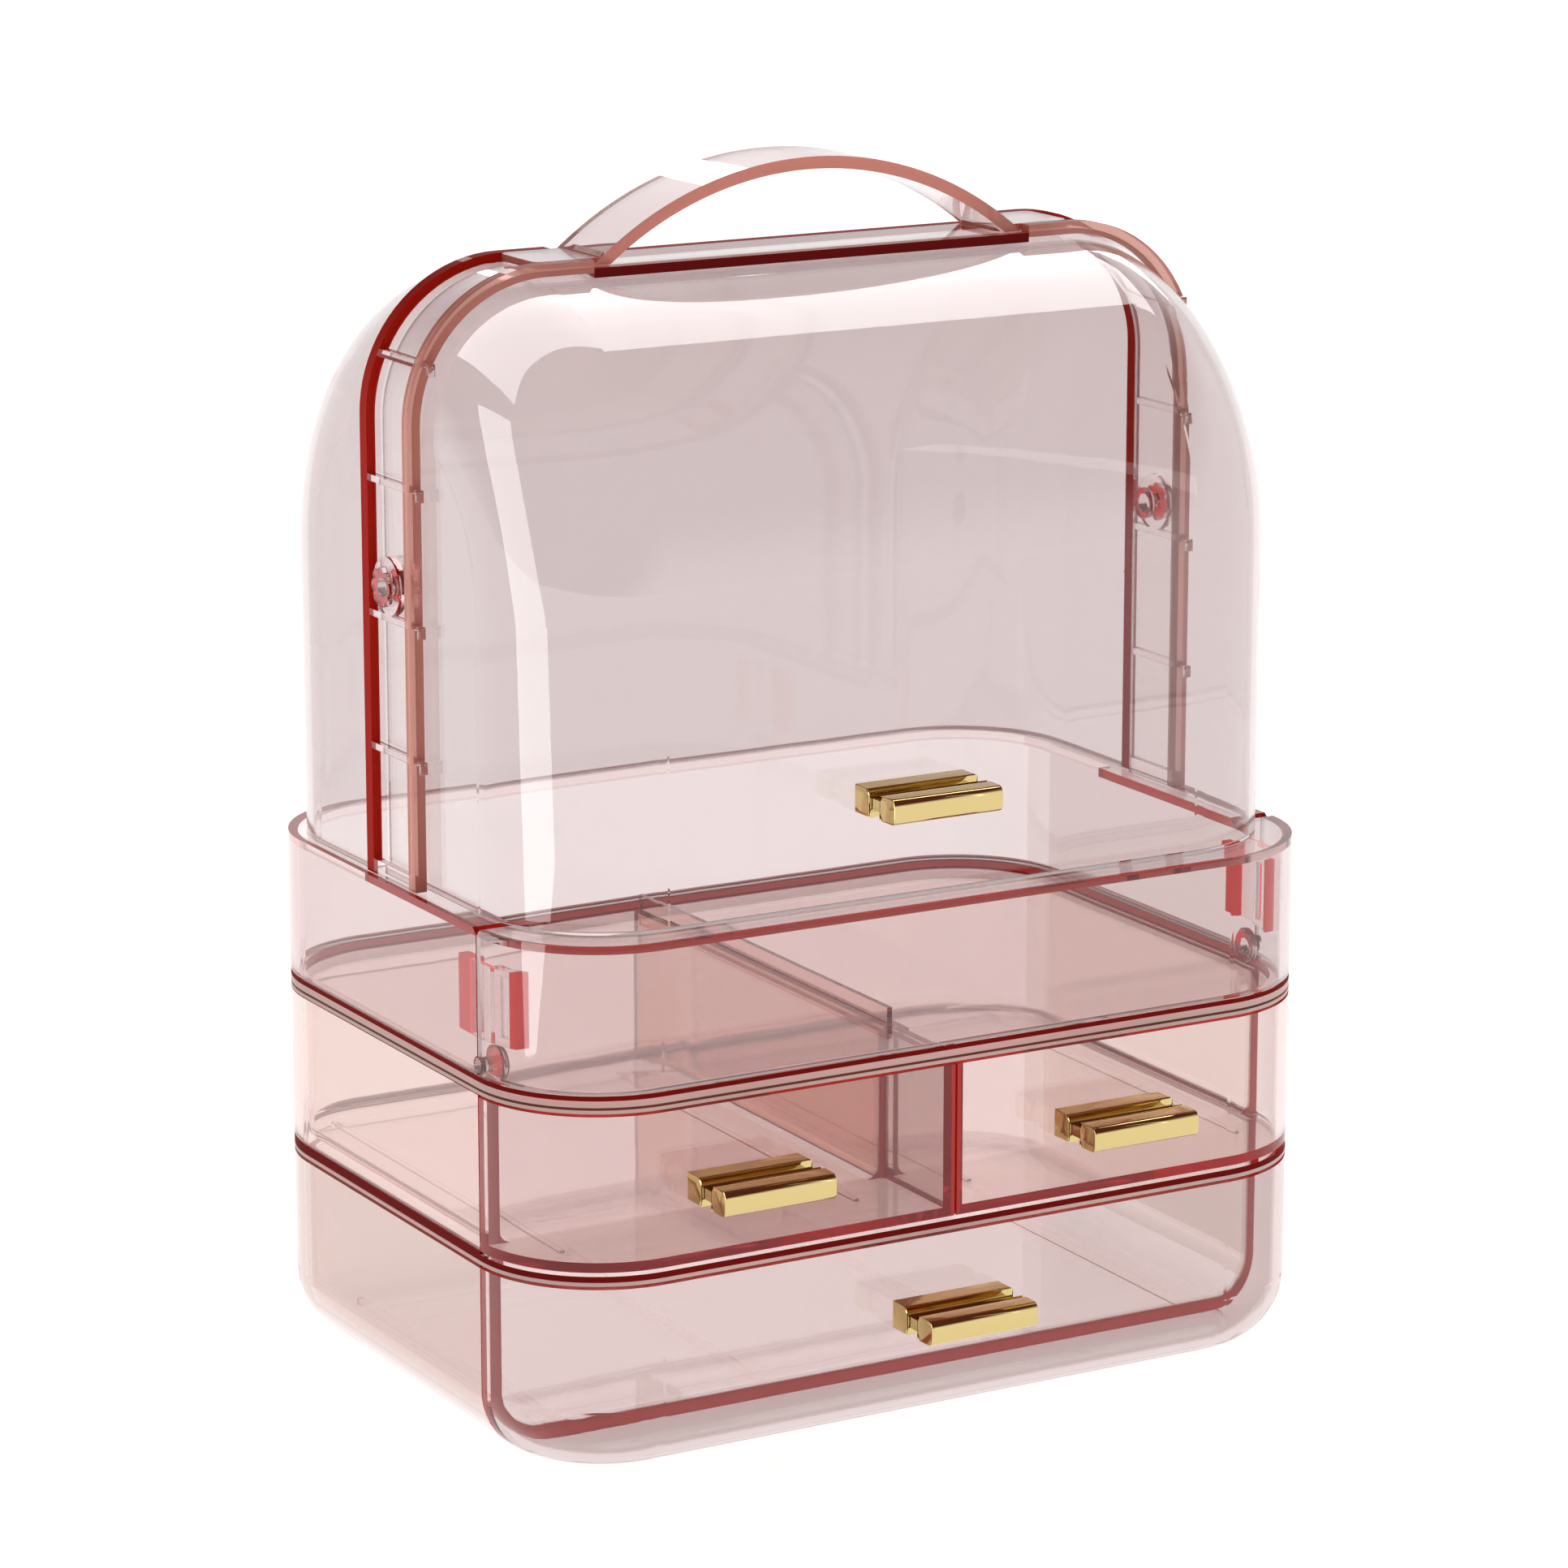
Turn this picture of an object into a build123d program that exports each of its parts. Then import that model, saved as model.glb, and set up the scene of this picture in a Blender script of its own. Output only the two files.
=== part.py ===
from build123d import *
import math
import os

# Clear cosmetics organizer: two drawer tiers, an open tray, and a two-part domed cover.
# Millimetres. +Z is up, -Y is the front, and the origin is the centre of the underside.

# ---- Plan of the body ----
WIDTH = 280.0
DEPTH = 202.0
CORNER = 40.5  # plan corner radius
BASE_RADIUS = 22.0  # rounding along the bottom edge
WALL = 3.0
SEAM_GAP = 0.6  # between the fixed shells and what closes their fronts
SEAT_GAP = 0.3  # between fixed pieces that rest on each other
PAST = 5.0  # how far a cutting block runs beyond what it cuts

HALF_WIDTH = WIDTH / 2
HALF_DEPTH = DEPTH / 2
SEAM_Y = CORNER - HALF_DEPTH  # the fixed shells end where the front corners begin
FIXED_FRONT_Y = SEAM_Y + SEAM_GAP / 2
DRAWER_SHOULDER_Y = SEAM_Y - SEAM_GAP / 2
REAR_WALL_Y = HALF_DEPTH - WALL
SIDE_WALL_X = HALF_WIDTH - WALL

# ---- Heights of the tiers ----
SHELF_RING_LOW = 60.6
SHELF_RING_HEIGHT = 5.4
SHELF_RISE = 1.0  # the shelf's plate starts this far above the underside of its ring
SHELF_THICK = 3.2
DECK_LOW = 114.4
DECK_FLOOR = 2.0
DECK_HEIGHT = 5.4
DECK_RING = 6.0
TRAY_HEIGHT = 45.0

SHELF_RING_HIGH = SHELF_RING_LOW + SHELF_RING_HEIGHT
SHELF_LOW = SHELF_RING_LOW + SHELF_RISE
SHELF_HIGH = SHELF_LOW + SHELF_THICK
DECK_HIGH = DECK_LOW + DECK_HEIGHT
RIM_Z = DECK_HIGH + TRAY_HEIGHT

# ---- Runner ribs, drawer divider and tray rail ----
RUNNER_WIDTH = 1.6
BASE_RUNNER_X = (-112.0, -41.0, 41.0, 112.0)
BASE_RUNNER_HEIGHT = 3.0
SHELF_RUNNER_X = (-120.0, -20.0, 20.0, 120.0)
SHELF_RUNNER_HEIGHT = 0.9
SHELF_RUNNER_SETBACK = 26.0  # from the front
DIVIDER_THICK = 4.0
RAIL_THICK = 1.8
RAIL_HEIGHT = 5.0
RAIL_BITE = 1.0  # how far the rail runs into the deck's raised ring

# ---- Drawers ----
DRAWER_WALL = 2.4
SIDE_CLEARANCE = 0.8
RUNNER_CLEARANCE = 0.3
TOP_CLEARANCE = 0.9
DRAWER_REAR_ROOM = 22.0  # left free between a drawer and the rear wall
DRAWER_REAR_Y = REAR_WALL_Y - DRAWER_REAR_ROOM
REAR_ROUND = 16.0  # rear corners of a drawer box
LOWER_FOOT_ROUND = 15.0
UPPER_FOOT_ROUND = 6.0
FRONT_GAP = 0.8  # between the two upper drawer fronts
FLOOR_LIFT = 0.6  # keeps the lower drawer's front off the table

# ---- Tray ----
LEDGE_THICK = 3.0
FRONT_LEDGE_WIDTH = 9.5
REAR_LEDGE_WIDTH = 5.0
LEDGE_PAST_ARCH = 3.5  # the wide front ledge ends this far behind the arch
NOTCH_SIZE = 3.2  # small V at the rim where the guard meets the tray

# ---- Guard clips and pins ----
CLIP_PLATE = 1.4
CLIP_DEPTH = 3.6
CLIP_LENGTH = 29.0
CLIP_HEIGHT = 23.0
CLIP_DROP = 10.8  # from the rim
CLIP_RIB = 7.5
POCKET_LENGTH = 11.0
POCKET_FRAME = 2.2
GUARD_PIN_RISE = 3.4  # above the deck's ring
GUARD_PIN_RADIUS = 2.4
GUARD_PIN_CLEARANCE = 0.3
GUARD_HEAD_RADIUS = 5.6
GUARD_HEAD_THICK = 2.6

CLIP_FRONT_Y = SEAM_Y - CLIP_LENGTH / 2
CLIP_REAR_Y = SEAM_Y + CLIP_LENGTH / 2
CLIP_HIGH = RIM_Z - CLIP_DROP
CLIP_LOW = CLIP_HIGH - CLIP_HEIGHT
GUARD_PIN_Z = DECK_HIGH + GUARD_PIN_RISE

# ---- Arch frame ----
PIVOT_RISE = 90.8
PIVOT_Z = RIM_Z + PIVOT_RISE
ARCH_INSET = 2.0  # the arch stands in this far from the tray's sides
ARCH_HALF_WIDTH = HALF_WIDTH - ARCH_INSET
ARCH_REACH = 95.2  # height of the arch above the pivot
ARCH_CORNER = 46.0
ARCH_THICK = 3.8
ARCH_BAND = 33.0
ARCH_FLANGE = 4.5
ARCH_WEB = 1.4  # skin between the flanges, next to the covers
ARCH_OPEN_HALF = 76.0  # under the strap, nearer the middle than this, there are no flanges
RUNG_RISES = (40.2, 81.2, 122.2, 159.2)  # above the rim
RUNG_HEIGHT = 2.0
PIVOT_BOSS_RADIUS = 9.0

# ---- Covers ----
COVER_WALL = 2.0
COVER_GAP = 0.6
COVER_FOOT_GAP = 0.7
COVER_FOOT_Z = RIM_Z + COVER_FOOT_GAP
FRONT_COVER_REAR_Y = 8.0
REAR_COVER_SHIFT = 3.8  # the rear cover curves about a line this far behind the pivot
REAR_COVER_INSET = 1.4  # from the arch's outer face, at the sides
REAR_COVER_DROP = 1.8  # from the arch's outer face, at the top
REAR_COVER_CORNER = 44.0

# ---- Carry handle ----
STRAP_WIDTH = 27.0
STRAP_THICK = 3.8
STRAP_HALF_SPAN = 75.0
STRAP_RISE = 27.8
FOOT_LENGTH = 26.0
FOOT_CORNER = 3.0

# ---- Pivot pins ----
RUNNING_CLEARANCE = 0.06
PIVOT_RADIUS = 3.0
PIVOT_HEAD_RADIUS = 6.2
PIVOT_HEAD_THICK = 1.7
PIVOT_LOBES = 8
PIVOT_LOBE_RADIUS = 1.9
PIVOT_CAP_RADIUS = 5.0
PIVOT_CAP_THICK = 1.6

# ---- Metal pulls: a foot bar, a waist and a grip bar, drawn in one profile ----
PULL_LENGTH = 37.4
PULL_FOOT_DEPTH = 8.2
PULL_FOOT_HEIGHT = 8.6
PULL_WAIST_DEPTH = 6.0
PULL_WAIST_HEIGHT = 3.4
PULL_GRIP_DEPTH = 8.6
PULL_GRIP_HEIGHT = 7.8
PULL_ROUND = 1.7

# Where each pull's middle sits on its front
COVER_PULL_X = -10.9
COVER_PULL_RISE = 32.3  # above the rim
UPPER_LEFT_PULL_X = -73.4
UPPER_RIGHT_PULL_X = 53.8
UPPER_PULL_RISE = 25.1  # above the shelf
LOWER_PULL_X = -3.1
LOWER_PULL_Z = 38.3

COVER_PULL_Z = RIM_Z + COVER_PULL_RISE
UPPER_PULL_Z = SHELF_HIGH + UPPER_PULL_RISE


def span_box(x_span, y_span, z_span):
    """Box between the low and high ends given along each axis."""
    spans = (x_span, y_span, z_span)
    sizes = [high - low for low, high in spans]
    middle = [(low + high) / 2 for low, high in spans]
    return Pos(*middle) * Box(*sizes)


def across(half):
    """Span of the given half width about zero."""
    return (-half, half)


def x_cylinder(radius, x_span, y, z):
    """Cylinder that lies along X."""
    length = x_span[1] - x_span[0]
    middle = (x_span[0] + x_span[1]) / 2
    return Pos(middle, y, z) * Rot(0, 90, 0) * Cylinder(radius, length)


def plan_prism(inset, z_low, z_high):
    """The body's rounded plan, moved in by an inset and raised between two heights."""
    outline = RectangleRounded(WIDTH - 2 * inset, DEPTH - 2 * inset, CORNER - inset)
    return Pos(0, 0, z_low) * extrude(outline, z_high - z_low)


def plan_band(outer_inset, inner_inset, z_low, z_high):
    """Wall between two insets of the rounded plan."""
    outer = plan_prism(outer_inset, z_low, z_high)
    return outer - plan_prism(inner_inset, z_low - PAST, z_high + PAST)


def tub(inset, z_high):
    """The lowest tier's form moved in by an inset, with its bottom edge rounded."""
    prism = plan_prism(inset, inset, z_high)
    foot = prism.faces().sort_by(Axis.Z)[0]
    return fillet(foot.edges(), BASE_RADIUS - inset)


def behind(y):
    """Block that holds everything behind a plane across the body."""
    return span_box(across(HALF_WIDTH + PAST), (y, HALF_DEPTH + PAST), (-PAST, RIM_Z + PAST))


def ahead(y):
    """Block that holds everything in front of a plane across the body."""
    return span_box(across(HALF_WIDTH + PAST), (-HALF_DEPTH - PAST, y), (-PAST, RIM_Z + PAST))


# ---- Fixed shells, from the floor up ----

def base_case():
    """Open-fronted lower shell with a rounded foot and runner ribs on its floor."""
    shell = tub(0, SHELF_RING_LOW) - tub(WALL, SHELF_RING_LOW + PAST)
    shell &= behind(FIXED_FRONT_Y)
    for x in BASE_RUNNER_X:
        shell += span_box(
            (x - RUNNER_WIDTH / 2, x + RUNNER_WIDTH / 2),
            (FIXED_FRONT_Y, REAR_WALL_Y - BASE_RADIUS),
            (WALL / 2, WALL + BASE_RUNNER_HEIGHT),
        )
    return shell


def middle_shelf():
    """Plate between the drawer tiers, thicker along its walled sides, with runner ribs."""
    plate = plan_prism(0, SHELF_LOW, SHELF_HIGH)
    low = SHELF_RING_LOW + SEAT_GAP
    plate += plan_band(0, WALL, low, SHELF_RING_HIGH) & behind(FIXED_FRONT_Y)
    for x in SHELF_RUNNER_X:
        plate += span_box(
            (x - RUNNER_WIDTH / 2, x + RUNNER_WIDTH / 2),
            (SHELF_RUNNER_SETBACK - HALF_DEPTH, DRAWER_REAR_Y),
            (SHELF_LOW, SHELF_HIGH + SHELF_RUNNER_HEIGHT),
        )
    return plate


def upper_case():
    """Open-fronted wall round the two upper drawers."""
    wall = plan_band(0, WALL, SHELF_RING_HIGH + SEAT_GAP, DECK_LOW - SEAT_GAP)
    return wall & behind(FIXED_FRONT_Y)


def drawer_divider():
    """Upright wall between the upper drawers."""
    return span_box(
        across(DIVIDER_THICK / 2),
        (FIXED_FRONT_Y, REAR_WALL_Y - SEAT_GAP),
        (SHELF_HIGH + SEAT_GAP, DECK_LOW - SEAT_GAP),
    )


def top_deck():
    """Shallow dish that closes the drawer tiers, with a low rail along its middle."""
    floor_top = DECK_LOW + DECK_FLOOR
    dish = plan_prism(0, DECK_LOW, DECK_HIGH)
    dish -= plan_prism(DECK_RING, floor_top, DECK_HIGH + PAST)
    rail = span_box(
        across(RAIL_THICK / 2),
        (SEAM_Y, HALF_DEPTH - DECK_RING + RAIL_BITE),
        (DECK_LOW, floor_top + RAIL_HEIGHT),
    )
    return dish + rail


def tray_wall():
    """Full loop of the tray wall with the ledge inside its rim, before it is split."""
    wall = plan_band(0, WALL, DECK_HIGH + SEAT_GAP, RIM_Z)
    ledge_low = RIM_Z - LEDGE_THICK
    wall += plan_band(WALL / 2, WALL + REAR_LEDGE_WIDTH, ledge_low, RIM_Z)
    wide_ledge = plan_band(WALL / 2, WALL + FRONT_LEDGE_WIDTH, ledge_low, RIM_Z)
    wall += wide_ledge & ahead(ARCH_BAND / 2 + LEDGE_PAST_ARCH)
    notch = Pos(0, SEAM_Y, RIM_Z) * Rot(45, 0, 0) * Box(WIDTH + PAST, NOTCH_SIZE, NOTCH_SIZE)
    hole_radius = GUARD_PIN_RADIUS + GUARD_PIN_CLEARANCE
    hole = x_cylinder(hole_radius, across(HALF_WIDTH + PAST), SEAM_Y, GUARD_PIN_Z)
    return wall - notch - hole


def tray_shell():
    """Back and sides of the tray, with the ledge that carries the arch and covers."""
    return tray_wall() & behind(FIXED_FRONT_Y)


def front_guard():
    """Curved front wall of the tray."""
    return tray_wall() & ahead(DRAWER_SHOULDER_Y)


def guard_clip():
    """Left clip: a strap inside the wall that spans the seam, a rib and a pocket frame."""
    outer = WALL + SEAT_GAP
    left_side = (-HALF_WIDTH - PAST, -HALF_WIDTH / 2)
    strap = plan_band(outer, outer + CLIP_PLATE, CLIP_LOW, CLIP_HIGH)
    strap &= span_box(left_side, (CLIP_FRONT_Y, CLIP_REAR_Y), (CLIP_LOW, CLIP_HIGH))
    raised = plan_band(outer, outer + CLIP_DEPTH, CLIP_LOW, CLIP_HIGH)
    rib = raised & span_box(
        left_side, (CLIP_REAR_Y - CLIP_RIB, CLIP_REAR_Y), (CLIP_LOW, CLIP_HIGH)
    )
    pocket_rear_y = CLIP_FRONT_Y + POCKET_LENGTH
    frame = raised & span_box(left_side, (CLIP_FRONT_Y, pocket_rear_y), (CLIP_LOW, CLIP_HIGH))
    hollow = plan_band(outer + CLIP_PLATE, outer + CLIP_DEPTH + PAST, CLIP_LOW, CLIP_HIGH)
    frame -= hollow & span_box(
        left_side,
        (CLIP_FRONT_Y + POCKET_FRAME, pocket_rear_y - POCKET_FRAME),
        (CLIP_LOW + POCKET_FRAME, CLIP_HIGH - POCKET_FRAME),
    )
    return strap + rib + frame


def guard_pin():
    """Left pin: a shaft through the seam, with a domed head inside the tray."""
    head_outer_x = -HALF_WIDTH + DECK_RING + SEAT_GAP
    head_inner_x = head_outer_x + GUARD_HEAD_THICK
    shaft = x_cylinder(GUARD_PIN_RADIUS, (-HALF_WIDTH, head_inner_x), SEAM_Y, GUARD_PIN_Z)
    head = x_cylinder(
        GUARD_HEAD_RADIUS, (head_outer_x, head_inner_x), SEAM_Y, GUARD_PIN_Z
    )
    face = head.faces().sort_by(Axis.X)[-1]
    head = fillet(face.edges(), GUARD_HEAD_THICK / 2)
    return shaft + head


# ---- Arch frame and carry handle ----

def shoulder_outline(half_width, reach, corner, foot):
    """Face of a round-shouldered upright form, from a foot below zero to a flat top."""
    side = half_width - corner
    shoulder = reach - corner
    bend = corner * math.sqrt(0.5)
    left_foot = (-half_width, -foot)
    left_shoulder = (-half_width, shoulder)
    left_top = (-side, reach)
    right_top = (side, reach)
    right_shoulder = (half_width, shoulder)
    right_foot = (half_width, -foot)
    outline = Polyline(right_foot, left_foot, left_shoulder)
    left_mid = (-side - bend, shoulder + bend)
    right_mid = (side + bend, shoulder + bend)
    outline += ThreePointArc(left_shoulder, left_mid, left_top)
    outline += Line(left_top, right_top)
    outline += ThreePointArc(right_top, right_mid, right_shoulder)
    outline += Line(right_shoulder, right_foot)
    return make_face(outline)


def arch_slab(inset, width):
    """Solid arch about the pivot line, moved in by an inset, of a given width in Y."""
    outline = shoulder_outline(
        ARCH_HALF_WIDTH - inset, ARCH_REACH - inset, ARCH_CORNER - inset, PIVOT_Z - RIM_Z
    )
    return Pos(0, 0, PIVOT_Z) * extrude(Plane.XZ * outline, width / 2, both=True)


def arch_frame():
    """Band over the covers: an outward channel with rungs, and a boss at each pivot."""
    wide = across(HALF_WIDTH + PAST)
    deep = across(ARCH_BAND)
    top = PIVOT_Z + ARCH_REACH
    band = arch_slab(0, ARCH_BAND) - arch_slab(ARCH_THICK, ARCH_BAND + PAST)
    band -= span_box(wide, deep, (RIM_Z - PAST, RIM_Z + SEAT_GAP))
    channel = arch_slab(-PAST, ARCH_BAND - 2 * ARCH_FLANGE)
    channel -= arch_slab(ARCH_THICK - ARCH_WEB, ARCH_BAND)
    channel -= span_box(wide, deep, (RIM_Z - PAST, RIM_Z + SEAT_GAP + ARCH_FLANGE))
    for rise in RUNG_RISES:
        z = RIM_Z + rise
        channel -= span_box(wide, deep, (z - RUNG_HEIGHT / 2, z + RUNG_HEIGHT / 2))
    channel -= x_cylinder(PIVOT_BOSS_RADIUS, wide, 0, PIVOT_Z)
    band -= channel
    band -= span_box(across(ARCH_OPEN_HALF), deep, (channel_floor(), top + PAST))
    saddle = span_box(across(ARCH_OPEN_HALF), across(ARCH_BAND / 2), (PIVOT_Z, channel_floor()))
    saddle -= x_cylinder(ARCH_REACH - ARCH_THICK, wide, 0, PIVOT_Z)
    hole = x_cylinder(PIVOT_RADIUS + RUNNING_CLEARANCE, wide, 0, PIVOT_Z)
    return band + saddle - hole


def channel_floor():
    """Height of the arch's skin between its flanges, along the flat top."""
    return PIVOT_Z + ARCH_REACH - ARCH_THICK + ARCH_WEB


def carry_handle():
    """Bowed strap whose feet lie between the arch's flanges, level with their tops."""
    foot_z = channel_floor() + SEAT_GAP
    foot_thick = PIVOT_Z + ARCH_REACH - foot_z
    foot_width = ARCH_BAND - 2 * ARCH_FLANGE - 2 * SEAT_GAP
    radius = (STRAP_HALF_SPAN ** 2 + STRAP_RISE ** 2) / (2 * STRAP_RISE)
    centre_z = foot_z + STRAP_RISE - radius
    ring = Circle(radius) - Circle(radius - STRAP_THICK)
    strap = Pos(0, 0, centre_z) * extrude(Plane.XZ * ring, STRAP_WIDTH / 2, both=True)
    strap &= span_box(
        across(STRAP_HALF_SPAN), across(STRAP_WIDTH), (foot_z, foot_z + 2 * STRAP_RISE)
    )
    foot_inner = STRAP_HALF_SPAN - 2 * STRAP_THICK
    foot_outer = foot_inner + FOOT_LENGTH
    for side in (-1, 1):
        middle = side * (foot_inner + foot_outer) / 2
        pad = extrude(RectangleRounded(FOOT_LENGTH, foot_width, FOOT_CORNER), foot_thick)
        strap += Pos(middle, 0, foot_z) * pad
    return strap


# ---- Covers ----

def dome(half_width, reach, corner, foot_z, rearward):
    """Quarter-round hood about the pivot line, standing on a straight skirt.

    One round-shouldered profile is turned through a quarter circle to make the hood
    and is carried straight down to make the skirt, so both have the same shoulders.
    """
    outline = shoulder_outline(half_width, reach, corner, 0)
    upright = Plane.XZ * outline
    hood = revolve(upright, Axis.X, -90)
    skirt = extrude(Plane.XY * outline, PIVOT_Z - foot_z, dir=(0, 0, -1))
    rear_half = hood + skirt
    placed = rear_half if rearward else mirror(rear_half, Plane.XZ)
    return Pos(0, 0, PIVOT_Z) * placed


def hood_slab(half_width, reach, corner, foot_z, y_high):
    """The hood's own front view carried back from the pivot line."""
    outline = shoulder_outline(half_width, reach, corner, PIVOT_Z - foot_z)
    return Pos(0, 0, PIVOT_Z) * extrude(Plane.XZ * outline, y_high, dir=(0, 1, 0))


def front_cover():
    """Clear front hood that lifts about the pivots and slides under the arch."""
    half_width = ARCH_HALF_WIDTH - ARCH_THICK - COVER_GAP
    reach = ARCH_REACH - ARCH_THICK - COVER_GAP
    corner = ARCH_CORNER - ARCH_THICK - COVER_GAP
    sizes = (half_width, reach, corner)
    inner_sizes = [size - COVER_WALL for size in sizes]
    outer = dome(*sizes, COVER_FOOT_Z, rearward=False)
    outer += hood_slab(*sizes, COVER_FOOT_Z, FRONT_COVER_REAR_Y)
    low = COVER_FOOT_Z - PAST
    inner = dome(*inner_sizes, low, rearward=False)
    inner += hood_slab(*inner_sizes, low, FRONT_COVER_REAR_Y + PAST)
    wide = across(half_width + PAST)
    swept_round = x_cylinder(reach, wide, 0, PIVOT_Z)
    swept_round += span_box(wide, across(reach), (low, PIVOT_Z))
    hole = x_cylinder(PIVOT_RADIUS + RUNNING_CLEARANCE, wide, 0, PIVOT_Z)
    return ((outer - inner) & swept_round) - hole


def rear_cover():
    """Clear fixed hood behind the arch, roomy enough for the front cover to slide inside."""
    half_width = ARCH_HALF_WIDTH - REAR_COVER_INSET
    sizes = (half_width, ARCH_REACH - REAR_COVER_DROP, REAR_COVER_CORNER)
    inner_sizes = [size - COVER_WALL for size in sizes]
    foot_z = RIM_Z + SEAT_GAP
    shell = dome(*sizes, foot_z, rearward=True)
    shell -= dome(*inner_sizes, foot_z - PAST, rearward=True)
    shell = Pos(0, REAR_COVER_SHIFT, 0) * shell
    return shell & span_box(
        across(HALF_WIDTH),
        (ARCH_BAND / 2 + SEAT_GAP, HALF_DEPTH),
        (foot_z, PIVOT_Z + ARCH_REACH),
    )


def pivot_pin():
    """Left pivot: a petalled head outside the arch, a shaft and a cap inside the cover."""
    head_outer_x = -ARCH_HALF_WIDTH - SEAT_GAP - PIVOT_HEAD_THICK
    head_inner_x = -ARCH_HALF_WIDTH - SEAT_GAP
    cover_inner_x = -ARCH_HALF_WIDTH + ARCH_THICK + COVER_GAP + COVER_WALL
    cap_outer_x = cover_inner_x + SEAT_GAP
    cap_inner_x = cap_outer_x + PIVOT_CAP_THICK
    pin = x_cylinder(PIVOT_RADIUS, (head_outer_x, cap_inner_x), 0, PIVOT_Z)
    pin += x_cylinder(PIVOT_CAP_RADIUS, (cap_outer_x, cap_inner_x), 0, PIVOT_Z)
    lobe_ring = PIVOT_HEAD_RADIUS - PIVOT_LOBE_RADIUS
    pin += x_cylinder(lobe_ring, (head_outer_x, head_inner_x), 0, PIVOT_Z)
    for step in range(PIVOT_LOBES):
        angle = 2 * math.pi * step / PIVOT_LOBES
        y = lobe_ring * math.cos(angle)
        z = PIVOT_Z + lobe_ring * math.sin(angle)
        pin += x_cylinder(PIVOT_LOBE_RADIUS, (head_outer_x, head_inner_x), y, z)
    return pin


# ---- Drawers ----

def box_form(x_span, z_span, inset, rear_round, foot_round):
    """Drawer box moved in by an inset, rounded at its rear corners and along its foot.

    It starts at the step behind the drawer front, and its front end stays square.
    """
    x_low, x_high = x_span[0] + inset, x_span[1] - inset
    y_low, y_high = DRAWER_SHOULDER_Y - DRAWER_WALL, DRAWER_REAR_Y - inset
    z_low, z_high = z_span[0] + inset, z_span[1]
    middle = Pos((x_low + x_high) / 2, (y_low + y_high) / 2, z_low)
    plan = Rectangle(x_high - x_low, y_high - y_low)
    rear_corners = plan.vertices().sort_by(Axis.Y)[-2:]
    plan = fillet(rear_corners, rear_round - inset)
    form = middle * extrude(plan, z_high - z_low)
    foot_edges = form.faces().sort_by(Axis.Z)[0].edges().sort_by(Axis.Y)[1:]
    return fillet(foot_edges, foot_round - inset)


def drawer(front, front_room, x_span, z_span, rear_round, foot_round):
    """Join a wide hollow front to the narrower box behind it, as one open tray."""
    box = box_form(x_span, z_span, 0, rear_round, foot_round)
    room = box_form(x_span, z_span, DRAWER_WALL, rear_round, foot_round)
    step_y = DRAWER_SHOULDER_Y - DRAWER_WALL
    doorway = room & span_box(x_span, (step_y, step_y + DRAWER_WALL), z_span)
    opening = Pos(0, -DRAWER_WALL / 2, 0) * doorway
    high = z_span[1]
    lid_cut = span_box(across(HALF_WIDTH + PAST), across(HALF_DEPTH + PAST), (high, high + PAST))
    return (front + box) - (front_room & ahead(step_y)) - room - opening - lid_cut


def lower_drawer():
    """Full-width drawer whose front carries on the body's rounded foot."""
    high = SHELF_LOW - TOP_CLEARANCE
    low = WALL + BASE_RUNNER_HEIGHT + RUNNER_CLEARANCE
    front = tub(0, high) & ahead(DRAWER_SHOULDER_Y)
    front -= span_box(across(HALF_WIDTH), across(HALF_DEPTH), (-PAST, FLOOR_LIFT))
    x_span = across(SIDE_WALL_X - SIDE_CLEARANCE)
    return drawer(front, tub(WALL, high + PAST), x_span, (low, high), REAR_ROUND, LOWER_FOOT_ROUND)


def upper_left_drawer():
    """Half-width drawer that wraps the left front corner."""
    high = DECK_LOW - TOP_CLEARANCE
    low = SHELF_HIGH + SHELF_RUNNER_HEIGHT + RUNNER_CLEARANCE
    left_half = span_box((-HALF_WIDTH, -FRONT_GAP / 2), across(HALF_DEPTH), (low, high))
    left_room = span_box(
        (-HALF_WIDTH, -FRONT_GAP / 2 - WALL), across(HALF_DEPTH), (low, high + PAST)
    )
    front = plan_prism(0, low, high) & ahead(DRAWER_SHOULDER_Y) & left_half
    front_room = plan_prism(WALL, low + DRAWER_WALL, high + PAST) & left_room
    x_span = (
        -SIDE_WALL_X + SIDE_CLEARANCE,
        -DIVIDER_THICK / 2 - SIDE_CLEARANCE,
    )
    return drawer(front, front_room, x_span, (low, high), REAR_ROUND, UPPER_FOOT_ROUND)


# ---- Metal pulls ----

def pull(x, y_face, z):
    """Two-bar pull joined by a waist, lying against a flat front."""
    grip_start = PULL_FOOT_DEPTH + PULL_WAIST_DEPTH
    foot = Pos(-PULL_FOOT_DEPTH / 2, 0) * Rectangle(PULL_FOOT_DEPTH, PULL_FOOT_HEIGHT)
    foot = fillet(foot.vertices().sort_by(Axis.X)[:2], PULL_ROUND)
    grip = Pos(-grip_start - PULL_GRIP_DEPTH / 2, 0) * RectangleRounded(
        PULL_GRIP_DEPTH, PULL_GRIP_HEIGHT, PULL_ROUND
    )
    waist = Pos(-PULL_FOOT_DEPTH - PULL_WAIST_DEPTH / 2, 0) * Rectangle(
        PULL_WAIST_DEPTH + PULL_ROUND, PULL_WAIST_HEIGHT
    )
    profile = foot + waist + grip
    bar = extrude(Plane.YZ * profile, PULL_LENGTH / 2, both=True)
    return Pos(x, y_face, z) * bar


def right_of(left_part):
    """Mirror image on the right-hand side."""
    return mirror(left_part, Plane.YZ)


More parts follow.
